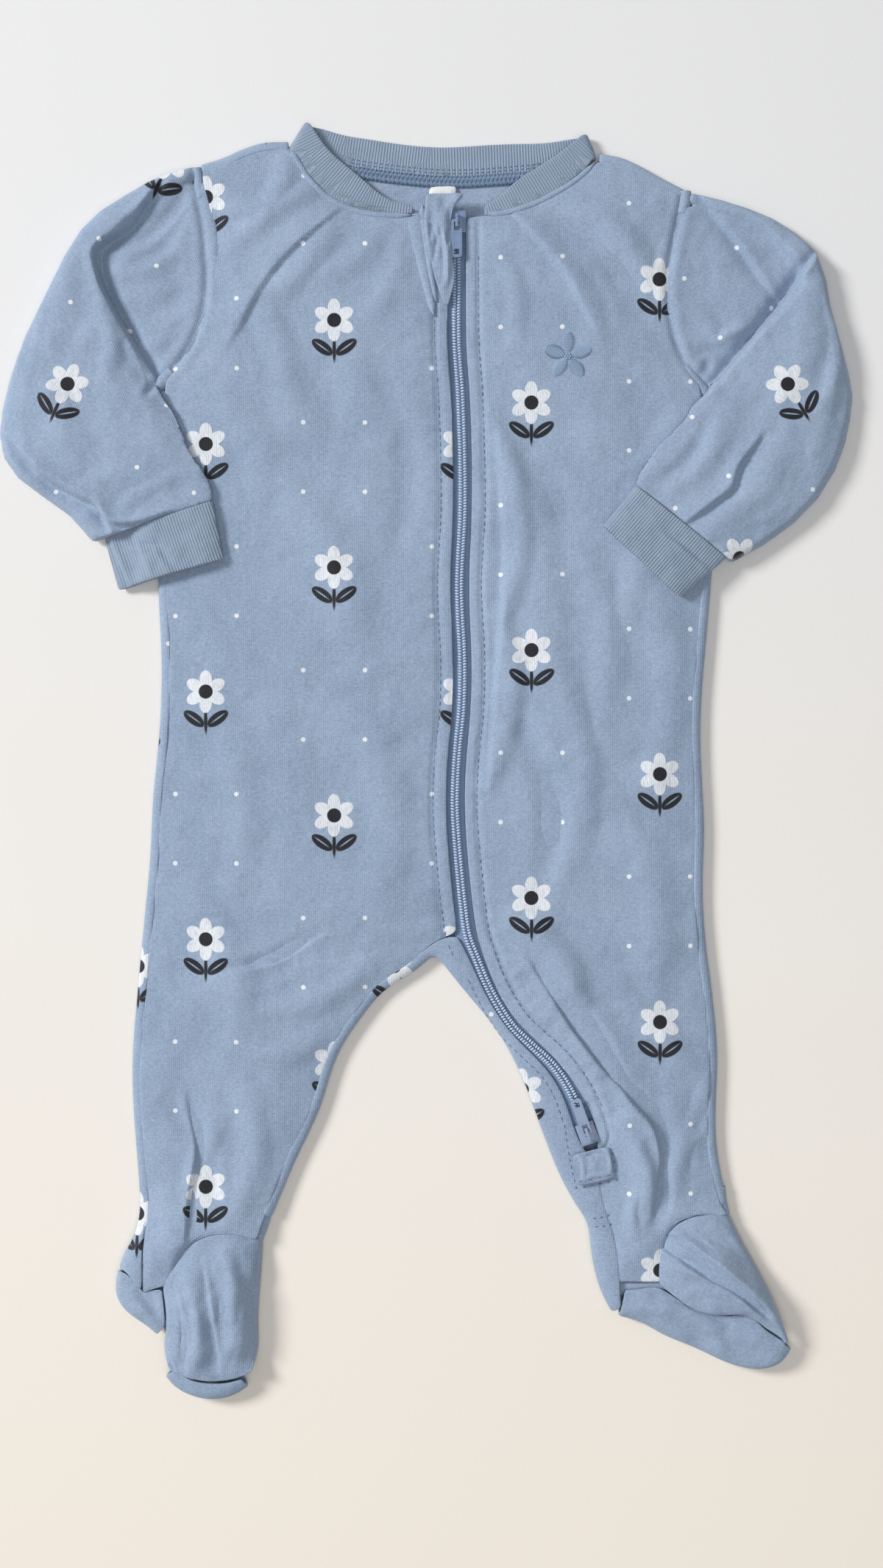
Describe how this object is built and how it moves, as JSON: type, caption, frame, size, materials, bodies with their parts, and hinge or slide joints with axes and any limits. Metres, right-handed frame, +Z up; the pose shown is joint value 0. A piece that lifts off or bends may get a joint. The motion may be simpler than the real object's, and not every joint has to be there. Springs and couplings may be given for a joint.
{
  "type": "footed baby sleepsuit",
  "caption": "Baby's blue footed sleepsuit laid flat on its back, sleeves folded down, with a zip from the neck into one leg.",
  "frame": {"origin": "middle of the bounding box on the surface that the garment lies on", "axes": "+X towards the wearer's left, +Y towards the neck, +Z up out of the front"},
  "size_m": [0.3734, 0.559, 0.0147],
  "materials": {
    "cloth": "soft brushed cotton interlock, heathered blue with a small black and white print",
    "rib": "ribbed knit, blue",
    "zip_tape": "woven zip tape and coil, blue",
    "zip_enamel": "satin blue enamel",
    "label": "white satin ribbon, blank"
  },
  "bodies": {
    "garment": {"back": "cloth", "front_right": "cloth", "front_left": "cloth", "neckband": "rib", "sleeve_right": "cloth", "sleeve_left": "cloth", "cuff_right": "rib", "cuff_left": "rib", "foot_upper_right": "cloth", "foot_upper_left": "cloth", "foot_sole_right": "cloth", "foot_sole_left": "cloth", "zip_chain": "zip_tape", "zip_guard": "cloth", "zip_patch": "cloth", "slider_top": "zip_enamel", "slider_bottom": "zip_enamel", "neck_label": "label"},
    "pull_top": {"pull_top": "zip_enamel"},
    "pull_bottom": {"pull_bottom": "zip_enamel"}
  },
  "joints": [
    {"name": "pull_top_hinge", "type": "hinge", "parent": "garment", "child": "pull_top", "pos_m": [0.01331, 0.23554, 0.0073], "axis": [-1, 0, 0], "range_deg": [0, 140]},
    {"name": "pull_bottom_hinge", "type": "hinge", "parent": "garment", "child": "pull_bottom", "pos_m": [0.07031, -0.16246, 0.0073], "axis": [0.9404, 0.3401, 0], "range_deg": [0, 140]}
  ]
}
